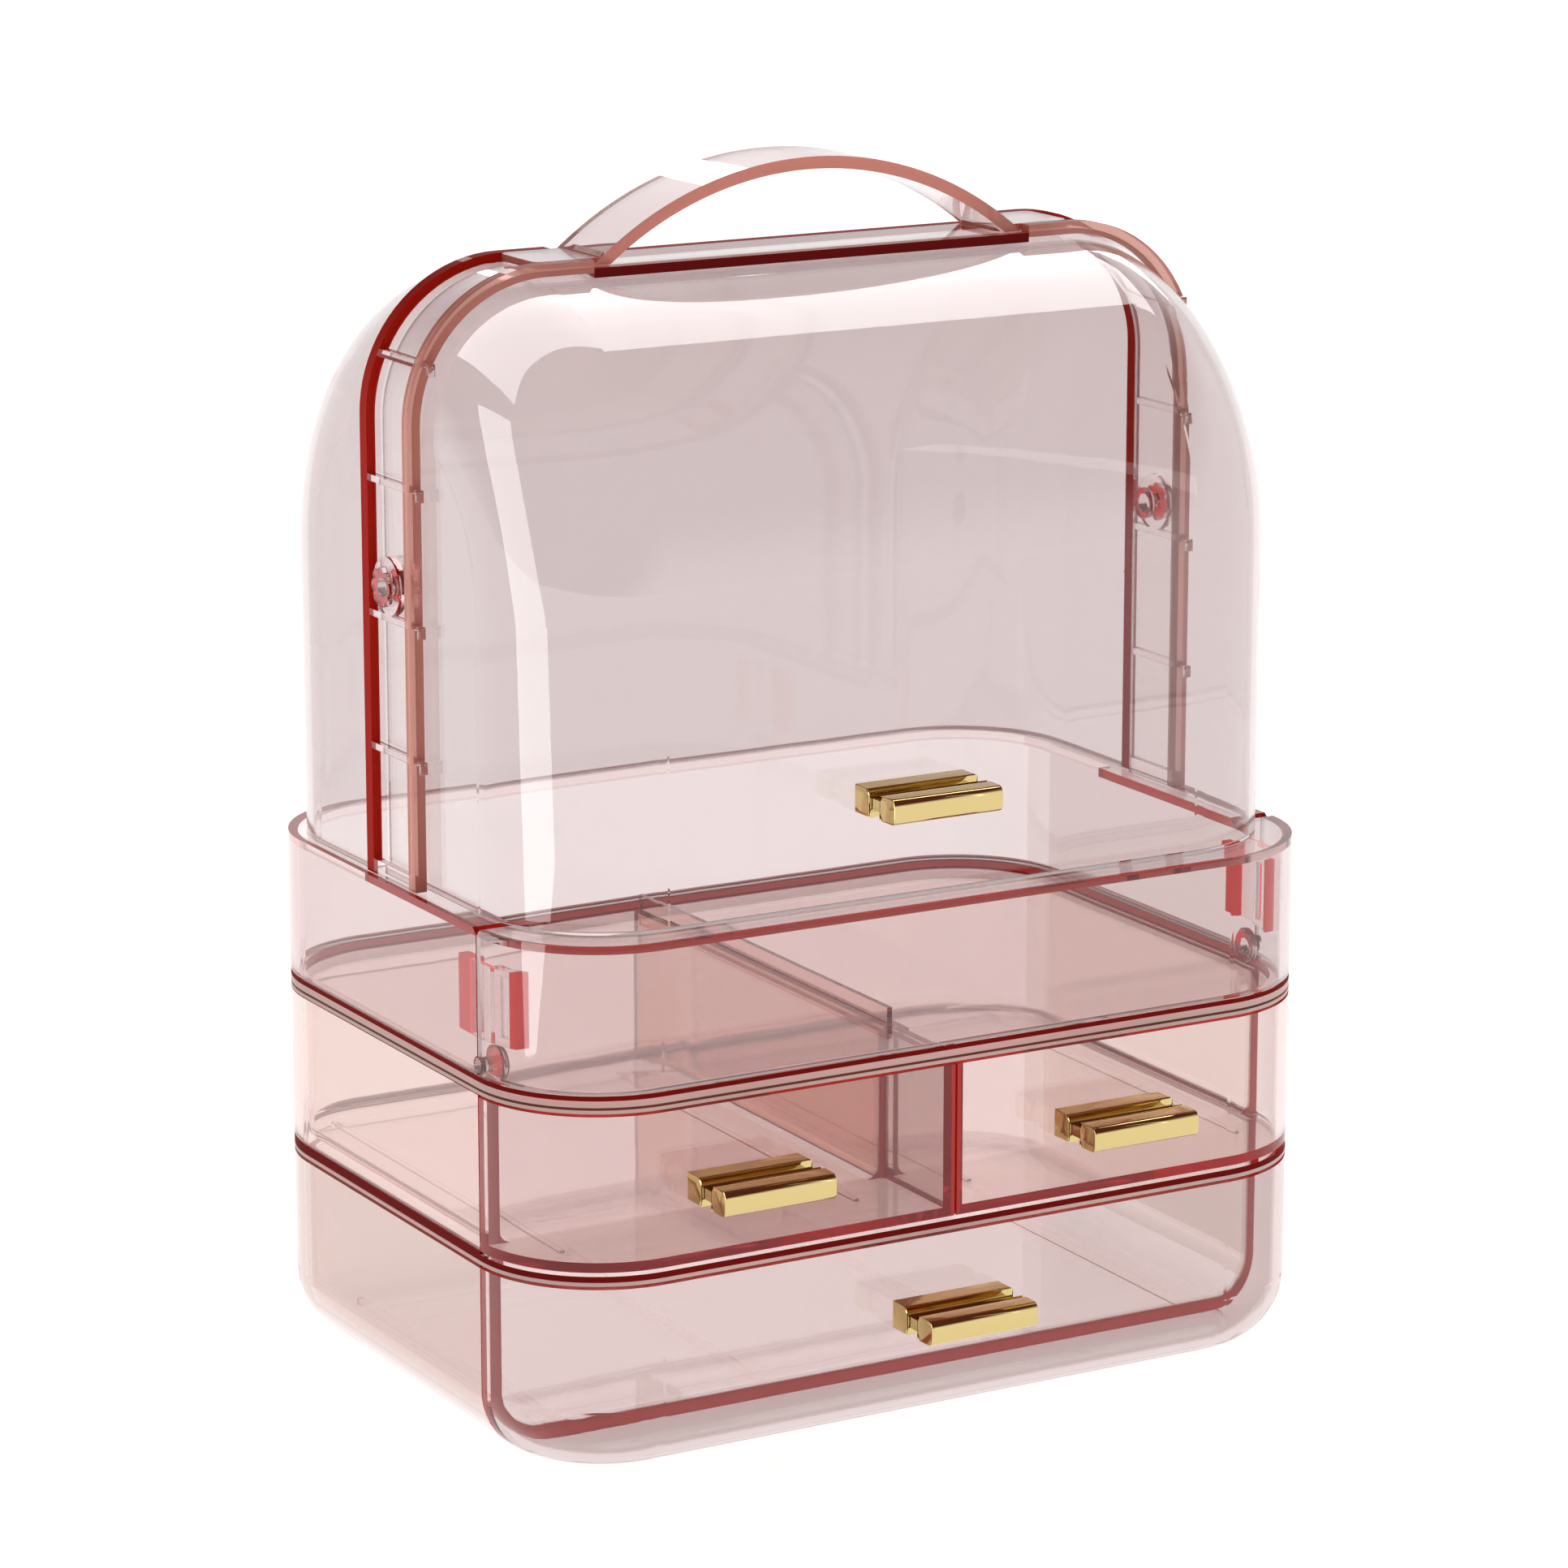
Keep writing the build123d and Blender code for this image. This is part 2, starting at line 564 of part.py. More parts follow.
def all_parts():
    """Every sub-part by name."""
    cover_face_y = -(ARCH_REACH - ARCH_THICK - COVER_GAP)
    upper_left = upper_left_drawer()
    clip = guard_clip()
    pin = guard_pin()
    pivot = pivot_pin()
    return {
        "base_case": base_case(),
        "middle_shelf": middle_shelf(),
        "upper_case": upper_case(),
        "drawer_divider": drawer_divider(),
        "top_deck": top_deck(),
        "tray_shell": tray_shell(),
        "front_guard": front_guard(),
        "guard_clip_left": clip,
        "guard_clip_right": right_of(clip),
        "guard_pin_left": pin,
        "guard_pin_right": right_of(pin),
        "arch_frame": arch_frame(),
        "carry_handle": carry_handle(),
        "rear_cover": rear_cover(),
        "front_cover": front_cover(),
        "pivot_pin_left": pivot,
        "pivot_pin_right": right_of(pivot),
        "lower_drawer": lower_drawer(),
        "upper_left_drawer": upper_left,
        "upper_right_drawer": right_of(upper_left),
        "pull_cover": pull(COVER_PULL_X, cover_face_y, COVER_PULL_Z),
        "pull_upper_left": pull(UPPER_LEFT_PULL_X, -HALF_DEPTH, UPPER_PULL_Z),
        "pull_upper_right": pull(UPPER_RIGHT_PULL_X, -HALF_DEPTH, UPPER_PULL_Z),
        "pull_lower": pull(LOWER_PULL_X, -HALF_DEPTH, LOWER_PULL_Z),
    }


os.makedirs("parts", exist_ok=True)
for part_name, part_shape in all_parts().items():
    export_step(part_shape, f"parts/{part_name}.step")
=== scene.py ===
"""A clear rose-tinted cosmetics organizer, dressed for a studio picture.

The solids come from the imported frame. This script gives them their finishes, models the
metal pulls and the arch's small lugs, and sets up the floor, the light and the camera. All
sizes are in metres.
"""

from __future__ import annotations

import logging
import math
from collections import defaultdict
from dataclasses import dataclass, replace
from enum import Enum
from functools import cache
from typing import Callable

import bpy
from mathutils import Matrix, Vector
from mathutils.bvhtree import BVHTree


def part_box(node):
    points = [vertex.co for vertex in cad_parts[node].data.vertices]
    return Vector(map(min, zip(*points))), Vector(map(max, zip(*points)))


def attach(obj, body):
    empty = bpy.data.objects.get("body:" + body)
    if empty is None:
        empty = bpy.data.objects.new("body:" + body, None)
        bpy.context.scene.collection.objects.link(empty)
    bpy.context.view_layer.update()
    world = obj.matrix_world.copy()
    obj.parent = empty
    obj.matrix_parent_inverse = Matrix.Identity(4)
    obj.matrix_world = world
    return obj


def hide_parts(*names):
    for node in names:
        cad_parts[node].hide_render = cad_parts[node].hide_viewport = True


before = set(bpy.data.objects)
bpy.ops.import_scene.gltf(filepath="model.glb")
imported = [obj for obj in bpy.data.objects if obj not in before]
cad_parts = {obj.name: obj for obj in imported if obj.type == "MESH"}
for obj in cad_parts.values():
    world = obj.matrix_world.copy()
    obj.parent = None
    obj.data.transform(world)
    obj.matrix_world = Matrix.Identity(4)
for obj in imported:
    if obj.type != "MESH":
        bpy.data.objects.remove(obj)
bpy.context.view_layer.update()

LOG = logging.getLogger("organizer")
Point = tuple[float, float, float]
MM = 0.001
HAIR = 0.01 * MM

# Edges of a new piece that turn by less than this are shaded smooth
SMOOTH_UNDER = math.radians(40)

# A face looks a way when its normal goes at least this far along it
FACING = 0.9


# ---- Small tools shared by the finishes and the pieces ----

def linear(hex_colour: str, alpha: float = 1.0) -> tuple[float, float, float, float]:
    """Turn an sRGB hex colour into linear values.

    Args:
        hex_colour: Six hex digits, with or without a leading hash.
        alpha: Opacity put after the three colour values.

    Returns:
        Red, green, blue and alpha, each from 0 to 1.
    """
    digits = hex_colour.lstrip("#")
    channels = [int(digits[start:start + 2], 16) / 255 for start in (0, 2, 4)]
    bright = [c / 12.92 if c <= 0.04045 else ((c + 0.055) / 1.055) ** 2.4 for c in channels]
    return (*bright, alpha)


def add_node(
    tree: bpy.types.NodeTree,
    kind: str,
    settings: dict | None = None,
    values: dict | None = None,
    links: dict | None = None,
) -> bpy.types.Node:
    """Add a shader node and join it to the nodes before it.

    Args:
        tree: Node tree that gets the node.
        kind: Blender's type name of the node.
        settings: Attributes of the node, by name.
        values: Values for the node's own input sockets, by name.
        links: Output sockets to join, by the name of the input they go into.

    Returns:
        The new node.
    """
    node = tree.nodes.new(kind)
    for name, value in (settings or {}).items():
        setattr(node, name, value)
    for name, value in (values or {}).items():
        node.inputs[name].default_value = value
    for name, output in (links or {}).items():
        tree.links.new(output, node.inputs[name])
    return node


def smooth_groups(mesh: bpy.types.Mesh) -> list[list[int]]:
    """Gather a CAD mesh's loose triangles into groups that run smoothly on.

    Args:
        mesh: The mesh, with outward normals.

    Returns:
        The face numbers of each group.
    """
    smooth_turn = math.cos(math.radians(30))
    grid = 0.001 * MM
    places = [tuple(round(c / grid) for c in vertex.co) for vertex in mesh.vertices]
    beside = defaultdict(list)
    for face in mesh.polygons:
        for first, second in face.edge_keys:
            beside[frozenset((places[first], places[second]))].append(face.index)
    neighbours = defaultdict(list)
    for faces in beside.values():
        for one in faces:
            neighbours[one] += [other for other in faces if other != one]
    groups = []
    waiting = set(range(len(mesh.polygons)))
    while waiting:
        group = [waiting.pop()]
        for index in group:
            normal = mesh.polygons[index].normal
            for other in neighbours[index]:
                if other in waiting and normal.dot(mesh.polygons[other].normal) > smooth_turn:
                    waiting.remove(other)
                    group.append(other)
        groups.append(group)
    return groups


def blank_material(name: str) -> bpy.types.Material:
    """Make a material with an empty node tree.

    Args:
        name: Name of the material.

    Returns:
        The new material.
    """
    made = bpy.data.materials.new(name)
    made.use_nodes = True
    made.node_tree.nodes.clear()
    return made


# ---- Finishes ----

class Face(Enum):
    """Kind of face on a clear moulding: what it shows is thin plastic, or a long way of it."""

    WALL = "wall"
    EDGE = "edge"


@dataclass(frozen=True)
class Tint:
    """Colour that light takes on at a face, the share that goes through, and a painted glow.

    The painted glow is emission that stands in for light that has run along inside the plastic
    and comes out of its edge.
    """

    colour: str
    clearness: float = 1.0
    painted_glow: float = 0.0

    def glow(self) -> tuple[float, float, float, float]:
        """Give the painted glow's colour, in linear values."""
        red, green, blue, alpha = linear(self.colour)
        return (red * self.painted_glow, green * self.painted_glow, blue * self.painted_glow, alpha)


@dataclass(frozen=True)
class Zone:
    """A box inside which a face takes on another tint, such as a painted glow out of a rib."""

    low: Point
    high: Point
    tint: Tint


def whole(node: str, tint: Tint) -> Zone:
    """Make a zone that covers all of a CAD node.

    Args:
        node: Name of the CAD node.
        tint: What its faces do to light.

    Returns:
        The zone.
    """
    low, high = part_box(node)
    return Zone(tuple(c - HAIR for c in low), tuple(c + HAIR for c in high), tint)


def band(node: str, axis: str, start: float, stop: float, tint: Tint) -> Zone:
    """Make a zone that covers a stretch of a CAD node on one axis, and all of it on the others.

    Args:
        node: Name of the CAD node.
        axis: "X", "Y" or "Z".
        start: Where the stretch starts.
        stop: Where it stops.
        tint: What its faces do to light.

    Returns:
        The zone.
    """
    box = whole(node, tint)
    low = list(box.low)
    high = list(box.high)
    number = "XYZ".index(axis)
    low[number] = start
    high[number] = stop
    return Zone(tuple(low), tuple(high), tint)


def inside_zone(
    tree: bpy.types.NodeTree, place: bpy.types.Node, zone: Zone
) -> bpy.types.NodeSocket:
    """Let a shader tell whether a point lies in a zone's box.

    Args:
        tree: The material's node tree.
        place: Its texture coordinates.
        zone: The zone.

    Returns:
        A socket that gives 1 inside the box and 0 outside.
    """
    middle = [(low + high) / 2 for low, high in zip(zone.low, zone.high)]
    half = [(high - low) / 2 for low, high in zip(zone.low, zone.high)]
    away = add_node(
        tree, "ShaderNodeVectorMath", {"operation": "SUBTRACT"},
        values={1: middle}, links={0: place.outputs["Object"]},
    )
    share = add_node(
        tree, "ShaderNodeVectorMath", {"operation": "DIVIDE"},
        values={1: half}, links={0: away.outputs["Vector"]},
    )
    size = add_node(
        tree, "ShaderNodeVectorMath", {"operation": "ABSOLUTE"},
        links={0: share.outputs["Vector"]},
    )
    axes = add_node(tree, "ShaderNodeSeparateXYZ", links={"Vector": size.outputs["Vector"]})
    flat = add_node(
        tree, "ShaderNodeMath", {"operation": "MAXIMUM"},
        links={0: axes.outputs["X"], 1: axes.outputs["Y"]},
    )
    most = add_node(
        tree, "ShaderNodeMath", {"operation": "MAXIMUM"},
        links={0: flat.outputs["Value"], 1: axes.outputs["Z"]},
    )
    inside = add_node(
        tree, "ShaderNodeMath", {"operation": "LESS_THAN"},
        values={1: 1.0}, links={0: most.outputs["Value"]},
    )
    return inside.outputs["Value"]


def put_before(
    tree: bpy.types.NodeTree,
    socket: bpy.types.NodeSocket,
    entry: bpy.types.NodeSocket,
    result: bpy.types.NodeSocket,
) -> None:
    """Put a mixing node before a shader's socket, after what was linked there.

    Args:
        tree: The material's node tree.
        socket: The shader's socket.
        entry: The mixing node's socket for what was linked.
        result: The mixing node's output.
    """
    if socket.is_linked:
        tree.links.new(socket.links[0].from_socket, entry)
    tree.links.new(result, socket)


def tint_zone(
    tree: bpy.types.NodeTree, place: bpy.types.Node, plastic: bpy.types.Node, zone: Zone
) -> None:
    """Let a zone's tint take the place of the shader's tint inside its box.

    Args:
        tree: The material's node tree.
        place: Its texture coordinates.
        plastic: Its shader.
        zone: The zone to add.
    """
    inside = inside_zone(tree, place, zone)
    tints = (("Base Color", linear(zone.tint.colour)), ("Emission Color", zone.tint.glow()))
    for name, colour in tints:
        mix = add_node(
            tree, "ShaderNodeMixRGB",
            values={"Color1": plastic.inputs[name].default_value, "Color2": colour},
            links={"Fac": inside},
        )
        put_before(tree, plastic.inputs[name], mix.inputs["Color1"], mix.outputs["Color"])
    through = plastic.inputs["Transmission Weight"]
    mix = add_node(
        tree, "ShaderNodeMapRange",
        values={"To Min": through.default_value, "To Max": zone.tint.clearness},
        links={"Value": inside},
    )
    put_before(tree, through, mix.inputs["To Min"], mix.outputs["Result"])


@dataclass(frozen=True)
class ClearPolystyrene:
    """Injection-moulded clear polystyrene, tinted through.

    A wall seen flat on is pale. Its edges are painted a deep colour with a faint painted glow,
    for light that has run along inside a wall and comes out of its edge.
    """

    name: str
    wall: Tint
    edge: Tint
    body_tint: str
    density: float
    roughness: float = 0.02
    ior: float = 1.50
    ripple_mm: float = 26.0
    ripple_depth: float = 0.04
    edge_from: float = 8.0 * MM
    wall_gloss: float = 0.5
    edge_gloss: float = 0.0

    @cache
    def material(self, face: Face, zones: tuple[Zone, ...] = ()) -> bpy.types.Material:
        """Build the material of one kind of face.

        Args:
            face: The kind of face.
            zones: Boxes with a tint of their own, each over those before it.

        Returns:
            A see-through material with a slow mould ripple on its surface.
        """
        tint, gloss = {
            Face.WALL: (self.wall, self.wall_gloss),
            Face.EDGE: (self.edge, self.edge_gloss),
        }[face]
        made = blank_material(f"{self.name}, {face.value}")
        tree = made.node_tree
        place = add_node(tree, "ShaderNodeTexCoord")
        ripple = add_node(
            tree, "ShaderNodeTexNoise",
            values={"Scale": 1 / (self.ripple_mm * MM), "Detail": 1.0, "Roughness": 0.4},
            links={"Vector": place.outputs["Object"]},
        )
        bump = add_node(
            tree, "ShaderNodeBump",
            values={"Strength": self.ripple_depth, "Distance": MM},
            links={"Height": ripple.outputs["Fac"]},
        )
        plastic = add_node(
            tree, "ShaderNodeBsdfPrincipled",
            values={
                "Base Color": linear(tint.colour),
                "Roughness": self.roughness,
                "IOR": self.ior,
                "Transmission Weight": tint.clearness,
                "Specular IOR Level": gloss,
                "Emission Color": tint.glow(),
                "Emission Strength": 1.0,
            },
            links={"Normal": bump.outputs["Normal"]},
        )
        for zone in zones:
            tint_zone(tree, place, plastic, zone)
        depth = add_node(
            tree, "ShaderNodeVolumeAbsorption",
            values={"Color": linear(self.body_tint), "Density": self.density},
        )
        add_node(
            tree, "ShaderNodeOutputMaterial",
            links={"Surface": plastic.outputs["BSDF"], "Volume": depth.outputs["Volume"]},
        )
        return made

    def dress(
        self,
        node: str,
        walls: tuple[Zone, ...] = (),
        edges: tuple[Zone, ...] = (),
        dull: bool = False,
    ) -> None:
        """Give a CAD node its materials, sorting its faces by the plastic behind each.

        Args:
            node: Name of the CAD node.
            walls: Zones of its walls.
            edges: Zones of its edges.
            dull: Whether all its faces are as dull as edges.
        """
        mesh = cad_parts[node].data
        mesh.materials.clear()
        mesh.materials.append(self.material(Face.WALL, walls))
        mesh.materials.append(self.material(Face.EDGE, edges))
        corners = [vertex.co for vertex in mesh.vertices]
        tree = BVHTree.FromPolygons(corners, [face.vertices for face in mesh.polygons])
        for group in smooth_groups(mesh):
            kind = self.kind_of([mesh.polygons[index] for index in group], tree)
            for index in group:
                mesh.polygons[index].material_index = int(dull or kind is Face.EDGE)
        LOG.info("%s: %s", node, self.name)

    def kind_of(self, faces: list[bpy.types.MeshPolygon], tree: BVHTree) -> Face:
        """Tell what kind of face a smooth group is, by the plastic behind most of its area.

        Args:
            faces: The faces of the group.
            tree: Search tree of the whole mesh.

        Returns:
            The kind of face.
        """
        area = defaultdict(float)
        for face in faces:
            inward = -face.normal
            start = face.center + inward * HAIR
            way = tree.ray_cast(start, inward)[3] or 0.0
            kind = Face.EDGE if way > self.edge_from else Face.WALL
            area[kind] += face.area
        return max(area, key=area.get)


@dataclass(frozen=True)
class GoldPlate:
    """Die-cast zinc, polished and gold-plated.

    It mirrors the room in a pale yellow, and polishing leaves its gloss a little uneven.
    """

    name: str
    colour: str
    roughness: float = 0.08
    smear_mm: float = 3.0
    unevenness: float = 0.1

    def material(self) -> bpy.types.Material:
        """Build the material.

        Returns:
            A polished metal whose gloss varies a little over its surface.
        """
        made = blank_material(self.name)
        tree = made.node_tree
        place = add_node(tree, "ShaderNodeTexCoord")
        smear = add_node(
            tree, "ShaderNodeTexNoise",
            values={"Scale": 1 / (self.smear_mm * MM), "Detail": 3.0},
            links={"Vector": place.outputs["Object"]},
        )
        gloss = add_node(
            tree, "ShaderNodeMapRange",
            values={
                "To Min": self.roughness * (1 - self.unevenness),
                "To Max": self.roughness * (1 + self.unevenness),
            },
            links={"Value": smear.outputs["Fac"]},
        )
        metal = add_node(
            tree, "ShaderNodeBsdfPrincipled",
            values={"Base Color": linear(self.colour), "Metallic": 1.0},
            links={"Roughness": gloss.outputs["Result"]},
        )
        add_node(tree, "ShaderNodeOutputMaterial", links={"Surface": metal.outputs["BSDF"]})
        return made


# Cases, drawers and arch: thin walls look nearly clear, and their edges are painted salmon to
# red with a faint painted glow, for the light that comes out of them
ROSE = ClearPolystyrene(
    name="rose clear polystyrene",
    wall=Tint("#FEFEFE"),
    edge=Tint("#D4382A", 0.38, 0.16),
    body_tint="#FF6C50",
    density=18.0,
)

# Hoods and guard: hardly tinted, so that only their rims look rosy; the rims' colour is painted
# light, for the light that comes out of them
CLEAR = ClearPolystyrene(
    name="clear polystyrene",
    wall=Tint("#E4DEDE"),
    edge=Tint("#B8645C", 0.65),
    body_tint="#FFB8A8",
    density=16.0,
)

# Pivots and pins: thick plastic whose every face mirrors the room, so that it glitters
CRYSTAL = replace(
    CLEAR, name="thick clear polystyrene", edge=CLEAR.wall, edge_gloss=CLEAR.wall_gloss
)

# Pulls: a pale yellow mirror
GOLD = GoldPlate(name="gold-plated zinc", colour="#E0CA8C")

# Painted light: colour and a painted glow where light comes out of a rib or an edge
DEEP_PAINTED_GLOW = Tint("#700A06", 0.10, 0.20)
BROWN_PAINTED_LINE = Tint("#74402F", 0.30)
RED_PAINTED_GLOW = Tint("#BC2012", 0.15, 0.15)
BRIGHT_PAINTED_GLOW = Tint("#E82010", 0.10, 0.40)
SALMON_PAINTED_LIGHT = Tint("#FFB8A6", 0.35)
PALE_PAINTED_LIGHT = Tint("#FFE2DA", 0.25)

# Painted shade: deeper tints painted where walls stand one behind another
BLUSH_PAINTED_SHADE = Tint("#F2E0DC")
DUSKY_PAINTED_SHADE = Tint("#D8AC9A")


# ---- Modelling by hand: picking faces and edges, then using Blender's operators ----

def pick_faces(piece: bpy.types.Object, wanted: Callable[[bpy.types.MeshPolygon], bool]) -> None:
    """In edit mode, select the faces that pass a test.

    Args:
        piece: The object in edit mode.
        wanted: Test of a face.
    """
    bpy.ops.mesh.select_mode(type="FACE")
    bpy.ops.mesh.select_all(action="DESELECT")
    bpy.ops.object.mode_set(mode="OBJECT")
    for face in piece.data.polygons:
        face.select = wanted(face)
    bpy.ops.object.mode_set(mode="EDIT")


def pick_edges(piece: bpy.types.Object, wanted: Callable[[Vector, Vector], bool]) -> None:
    """In edit mode, select the edges that pass a test.

    Args:
        piece: The object in edit mode.
        wanted: Test of an edge's two ends.
    """
    bpy.ops.mesh.select_mode(type="EDGE")
    bpy.ops.mesh.select_all(action="DESELECT")
    bpy.ops.object.mode_set(mode="OBJECT")
    points = piece.data.vertices
    for edge in piece.data.edges:
        first, second = (points[index].co for index in edge.vertices)
        edge.select = wanted(first, second)
    bpy.ops.object.mode_set(mode="EDIT")


@dataclass
class Pull:
    """Gold two-bar pull: a foot bar on the front, a waist and a grip bar."""

    foot_depth: float = 8.2 * MM
    waist_depth: float = 6.0 * MM
    waist_height: float = 3.4 * MM
    waist_inset: float = 0.6 * MM
    grip_height: float = 7.8 * MM
    bar_round: float = 2.1 * MM
    waist_round: float = 0.8 * MM
    end_round: float = 0.3 * MM

    def build(self, node: str, metal: bpy.types.Material) -> bpy.types.Object:
        """Model the pull in the place of a CAD node.

        Args:
            node: Name of the CAD node, whose box the pull fills.
            metal: Material of the pull.

        Returns:
            The finished piece.
        """
        low, high = (Vector(corner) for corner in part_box(node))
        size = high - low
        middle = (low + high) / 2
        foot_middle = (middle.x, high.y - self.foot_depth / 2, middle.z)
        bpy.ops.object.select_all(action="DESELECT")
        bpy.ops.mesh.primitive_cube_add(size=1, location=foot_middle)
        piece = bpy.context.active_object
        piece.scale = (size.x, self.foot_depth, size.z)
        bpy.ops.object.transform_apply(location=True, rotation=True, scale=True)
        grip_depth = size.y - self.foot_depth - self.waist_depth
        waist_share = 1 - 2 * self.waist_inset / size.x
        bpy.ops.object.mode_set(mode="EDIT")
        pick_faces(piece, lambda face: face.normal.y < -FACING)
        self.step(self.waist_depth, waist_share, self.waist_height / size.z, middle)
        self.step(grip_depth, 1 / waist_share, self.grip_height / self.waist_height, middle)
        self.soften(piece, middle, size)
        bpy.ops.object.mode_set(mode="OBJECT")
        bpy.ops.object.shade_smooth_by_angle(angle=SMOOTH_UNDER)
        piece.data.materials.append(metal)
        return piece

    def step(self, depth: float, length_share: float, height_share: float, middle: Vector) -> None:
        """Narrow or widen the picked front face, and draw it forward.

        Args:
            depth: How far forward it is drawn.
            length_share: New length as a share of the old one.
            height_share: New height as a share of the old one.
            middle: Centre of the pull.
        """
        bpy.ops.mesh.extrude_region_move()
        bpy.ops.transform.resize(value=(length_share, 1, height_share), center_override=middle)
        bpy.ops.mesh.extrude_region_move(TRANSFORM_OT_translate={"value": (0, -depth, 0)})

    def soften(self, piece: bpy.types.Object, middle: Vector, size: Vector) -> None:
        """Round the edges along the bars, then break the edges round both ends.

        Args:
            piece: The pull in edit mode.
            middle: Centre of the pull.
            size: Its length, depth and height.
        """
        waist_half = self.waist_height / 2 + HAIR
        mount_y = middle.y + size.y / 2 - HAIR
        end_x = size.x / 2 - HAIR

        def along(first: Vector, second: Vector) -> bool:
            """Tell if an edge runs along the bars, off the mounting face."""
            return abs(first.x - second.x) > size.x / 2 and first.y < mount_y

        def on_waist(first: Vector, second: Vector) -> bool:
            """Tell if an edge lies where the waist meets a bar."""
            return along(first, second) and abs(first.z - middle.z) < waist_half

        def on_bar(first: Vector, second: Vector) -> bool:
            """Tell if an edge is an outer one of a bar."""
            return along(first, second) and abs(first.z - middle.z) > waist_half

        def round_end(first: Vector, second: Vector) -> bool:
            """Tell if an edge lies round a bar's end, off the mounting face."""
            at_end = min(abs(first.x - middle.x), abs(second.x - middle.x)) > end_x
            return at_end and abs(first.x - second.x) < HAIR and min(first.y, second.y) < mount_y

        pick_edges(piece, on_waist)
        bpy.ops.mesh.bevel(offset=self.waist_round, segments=4, affect="EDGES")
        pick_edges(piece, on_bar)
        bpy.ops.mesh.bevel(offset=self.bar_round, segments=6, affect="EDGES")
        pick_edges(piece, round_end)
        bpy.ops.mesh.bevel(offset=self.end_round, segments=3, affect="EDGES")


@dataclass
class Lug:
    """Small hook that stands out in front of a rung's end."""

    reach: float = 3.4 * MM
    drop: float = 3.8 * MM
    bar: float = 1.2 * MM
    thickness: float = 2.4 * MM
    edge_round: float = 0.2 * MM

    def build(self, place: Vector, plastic: bpy.types.Material) -> bpy.types.Object:
        """Model the lug against the front of its rung.

        Args:
            place: Middle of the rung's end, on the arch's front.
            plastic: Material of the lug.

        Returns:
            The finished piece.
        """
        nose = place + Vector((0, self.bar / 2 - self.reach, 0))
        bpy.ops.object.select_all(action="DESELECT")
        bpy.ops.mesh.primitive_cube_add(size=1, location=nose)
        piece = bpy.context.active_object
        piece.scale = (self.thickness, self.bar, self.bar)
        bpy.ops.object.transform_apply(location=True, rotation=True, scale=True)
        bpy.ops.object.mode_set(mode="EDIT")
        pick_faces(piece, lambda face: face.normal.z < -FACING)
        down = (0, 0, self.bar - self.drop)
        bpy.ops.mesh.extrude_region_move(TRANSFORM_OT_translate={"value": down})
        pick_faces(piece, lambda face: face.normal.y > FACING and face.center.z > nose.z - HAIR)
        back = (0, self.reach - self.bar, 0)
        bpy.ops.mesh.extrude_region_move(TRANSFORM_OT_translate={"value": back})
        bpy.ops.mesh.select_all(action="SELECT")
        bpy.ops.mesh.bevel(offset=self.edge_round, segments=2, affect="EDGES")
        bpy.ops.object.mode_set(mode="OBJECT")
        bpy.ops.object.shade_smooth_by_angle(angle=SMOOTH_UNDER)
        piece.data.materials.append(plastic)
        return piece


def copied(piece: bpy.types.Object, offset: Vector) -> bpy.types.Object:
    """Copy a piece with its own mesh, moved by an offset.

    Args:
        piece: The piece to copy.
        offset: How far the copy is moved.

    Returns:
        The copy, with its origin where the first one's is.
    """
    bpy.ops.object.select_all(action="DESELECT")
    piece.select_set(True)
    bpy.context.view_layer.objects.active = piece
    bpy.ops.object.duplicate()
    copy = bpy.context.active_object
    copy.location = offset
    bpy.ops.object.transform_apply(location=True, rotation=True, scale=True)
    return copy


def one_at_each(first: bpy.types.Object, places: list[Vector]) -> list[bpy.types.Object]:
    """Copy a piece to every other place.

    Args:
        first: The piece, modelled at the first place.
        places: All the places, the first one's included.

    Returns:
        The piece and its copies, in the order of the places.
    """
    return [first] + [copied(first, place - places[0]) for place in places[1:]]


# ---- The organizer's assemblies ----

